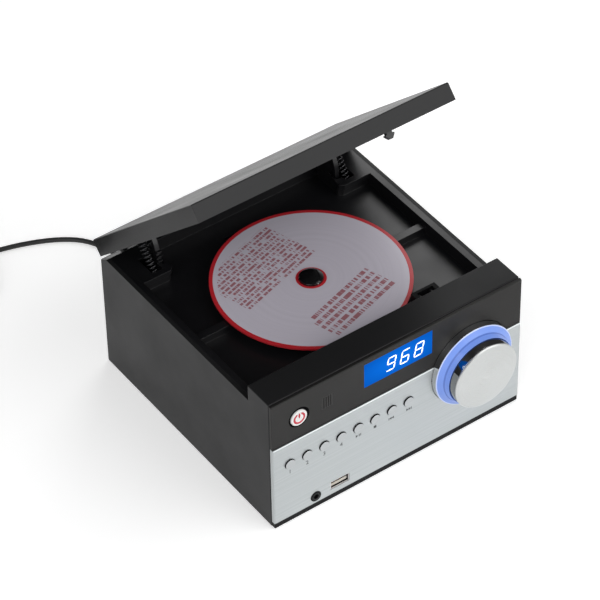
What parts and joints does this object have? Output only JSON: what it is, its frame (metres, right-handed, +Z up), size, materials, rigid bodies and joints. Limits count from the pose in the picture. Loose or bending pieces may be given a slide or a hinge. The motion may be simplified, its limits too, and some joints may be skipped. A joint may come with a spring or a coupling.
{
  "type": "compact disc radio",
  "caption": "Small black radio with a lift-up lid over a disc well, lit display, row of push buttons, large lit volume knob, sockets and a coiled mains lead.",
  "frame": {"origin": "on the table under the middle of the set with its lid open, volume knob included, mains lead left out", "axes": "+X to the right seen from the front, +Y to the back, +Z up"},
  "size_m": [0.3486, 0.3204, 0.1975],
  "materials": {
    "cabinet_black": "satin black paint",
    "deck_black": "fine satin black moulding",
    "lid_black": "polished black",
    "display_black": "smooth dark grey",
    "panel_silver": "brushed across",
    "lcd_blue": "lit blue display",
    "dark_window": "dark translucent",
    "light_blue": "lit translucent blue",
    "chrome": "mirror bright",
    "cap_silver": "turned in circles",
    "button_silver": "satin bright",
    "button_white": "smooth white",
    "steel": "plain steel",
    "iron": "laminated iron and wound copper",
    "rubber": "matt rubber",
    "black_inner": "black moulding",
    "board": "green circuit board",
    "white_part": "natural plastic",
    "disc_print": "printed matt lilac grey",
    "hub_black": "polished black",
    "lens_glass": "clear",
    "lead_black": "soft black sheath"
  },
  "bodies": {
    "chassis": {"cabinet": "cabinet_black", "base_plate": "black_inner", "feet": "rubber", "case_screws": "steel", "rear_panel": "black_inner", "phono_sockets": "white_part", "front_frame": "black_inner", "display_panel": "display_black", "silver_panel": "panel_silver", "lcd_window": "lcd_blue", "lcd_module": "white_part", "remote_window": "dark_window", "front_board": "board", "push_switches": "black_inner", "light_ring": "light_blue", "encoder_body": "steel", "usb_shell": "steel", "usb_tongue": "white_part", "jack_socket": "black_inner", "deck": "deck_black", "hinge_pins": "steel", "damper_body": "black_inner", "latch_housing": "black_inner", "drive_chassis": "steel", "drive_mounts": "rubber", "guide_rods": "steel", "spindle_motor": "steel", "sled_motor": "steel", "main_board": "board", "transformer": "iron", "lid_spring_left": "steel", "lid_spring_right": "steel", "lead_boot": "rubber", "mains_lead": "lead_black", "coil_tie": "lead_black", "mains_plug": "lead_black"},
    "lid": {"lid_shell": "lid_black", "lid_liner": "deck_black"},
    "damper": {"damper_gear": "white_part"},
    "volume": {"knob_cap": "cap_silver", "knob_skirt": "chrome", "encoder_shaft": "steel"},
    "power": {"power_button": "button_white"},
    "button_1": {"key_1": "button_silver"},
    "button_2": {"key_2": "button_silver"},
    "button_3": {"key_3": "button_silver"},
    "button_4": {"key_4": "button_silver"},
    "button_5": {"key_5": "button_silver"},
    "button_6": {"key_6": "button_silver"},
    "button_7": {"key_7": "button_silver"},
    "button_8": {"key_8": "button_silver"},
    "catch": {"latch_catch": "white_part"},
    "spindle": {"disc_hub": "hub_black", "hub_balls": "steel"},
    "record": {"disc": "disc_print"},
    "pickup": {"sled": "black_inner"},
    "focus": {"lens_holder": "black_inner", "lens": "lens_glass"},
    "traverse_gear": {"sled_gear": "white_part"},
    "traverse_pinion": {"sled_pinion": "white_part"}
  },
  "joints": [
    {"name": "lid_hinge", "type": "hinge", "parent": "chassis", "child": "lid", "pos_m": [0, 0.0899, 0.0881], "axis": [1, 0, 0], "range_deg": [0, 43.7], "stiffness_Nm_per_rad": 0.15, "springref_deg": -91.67, "deforming": ["lid_spring_left", "lid_spring_right"]},
    {"name": "damper_spin", "type": "hinge", "parent": "chassis", "child": "damper", "pos_m": [-0.0645, 0.06533, 0.07089], "axis": [1, 0, 0], "range_deg": [-218.6, 0]},
    {"name": "volume_turn", "type": "hinge", "parent": "chassis", "child": "volume", "pos_m": [0.0515, -0.0834, 0.0545], "axis": [0, 1, 0], "continuous": true},
    {"name": "power_press", "type": "slide", "parent": "chassis", "child": "power", "axis": [0, 1, 0], "range_m": [0, 0.0008], "stiffness_N_per_m": 500, "springref_m": -0.001},
    {"name": "key_1_press", "type": "slide", "parent": "chassis", "child": "button_1", "axis": [0, 1, 0], "range_m": [0, 0.0008], "stiffness_N_per_m": 500, "springref_m": -0.001},
    {"name": "key_2_press", "type": "slide", "parent": "chassis", "child": "button_2", "axis": [0, 1, 0], "range_m": [0, 0.0008], "stiffness_N_per_m": 500, "springref_m": -0.001},
    {"name": "key_3_press", "type": "slide", "parent": "chassis", "child": "button_3", "axis": [0, 1, 0], "range_m": [0, 0.0008], "stiffness_N_per_m": 500, "springref_m": -0.001},
    {"name": "key_4_press", "type": "slide", "parent": "chassis", "child": "button_4", "axis": [0, 1, 0], "range_m": [0, 0.0008], "stiffness_N_per_m": 500, "springref_m": -0.001},
    {"name": "key_5_press", "type": "slide", "parent": "chassis", "child": "button_5", "axis": [0, 1, 0], "range_m": [0, 0.0008], "stiffness_N_per_m": 500, "springref_m": -0.001},
    {"name": "key_6_press", "type": "slide", "parent": "chassis", "child": "button_6", "axis": [0, 1, 0], "range_m": [0, 0.0008], "stiffness_N_per_m": 500, "springref_m": -0.001},
    {"name": "key_7_press", "type": "slide", "parent": "chassis", "child": "button_7", "axis": [0, 1, 0], "range_m": [0, 0.0008], "stiffness_N_per_m": 500, "springref_m": -0.001},
    {"name": "key_8_press", "type": "slide", "parent": "chassis", "child": "button_8", "axis": [0, 1, 0], "range_m": [0, 0.0008], "stiffness_N_per_m": 500, "springref_m": -0.001},
    {"name": "catch_push", "type": "slide", "parent": "chassis", "child": "catch", "axis": [0, 0, -1], "range_m": [0, 0.003], "stiffness_N_per_m": 300, "springref_m": -0.002},
    {"name": "disc_spin", "type": "hinge", "parent": "chassis", "child": "spindle", "pos_m": [0, 0.0027, 0.084], "axis": [0, 0, 1], "continuous": true},
    {"name": "disc_lift", "type": "slide", "parent": "spindle", "child": "record", "axis": [0, 0, 1], "range_m": [0, 0.002]},
    {"name": "pickup_travel", "type": "slide", "parent": "chassis", "child": "pickup", "axis": [0, 1, 0], "range_m": [0, 0.034]},
    {"name": "focus_move", "type": "slide", "parent": "pickup", "child": "focus", "axis": [0, 0, 1], "range_m": [-0.0004, 0.0004], "stiffness_N_per_m": 80},
    {"name": "traverse_gear_spin", "type": "hinge", "parent": "chassis", "child": "traverse_gear", "pos_m": [0.0282, 0.04026, 0.0723], "axis": [0, 0, 1], "range_deg": [-243.6, 0]},
    {"name": "traverse_pinion_spin", "type": "hinge", "parent": "chassis", "child": "traverse_pinion", "pos_m": [0.0412, 0.04026, 0.0723], "axis": [0, 0, 1], "range_deg": [0, 389.7]}
  ],
  "couplings": [
    {"joint": "damper_spin", "follows": "lid_hinge", "ratio": -5},
    {"joint": "traverse_gear_spin", "follows": "pickup_travel", "rad_per_m": -125},
    {"joint": "traverse_pinion_spin", "follows": "pickup_travel", "rad_per_m": 200}
  ]
}
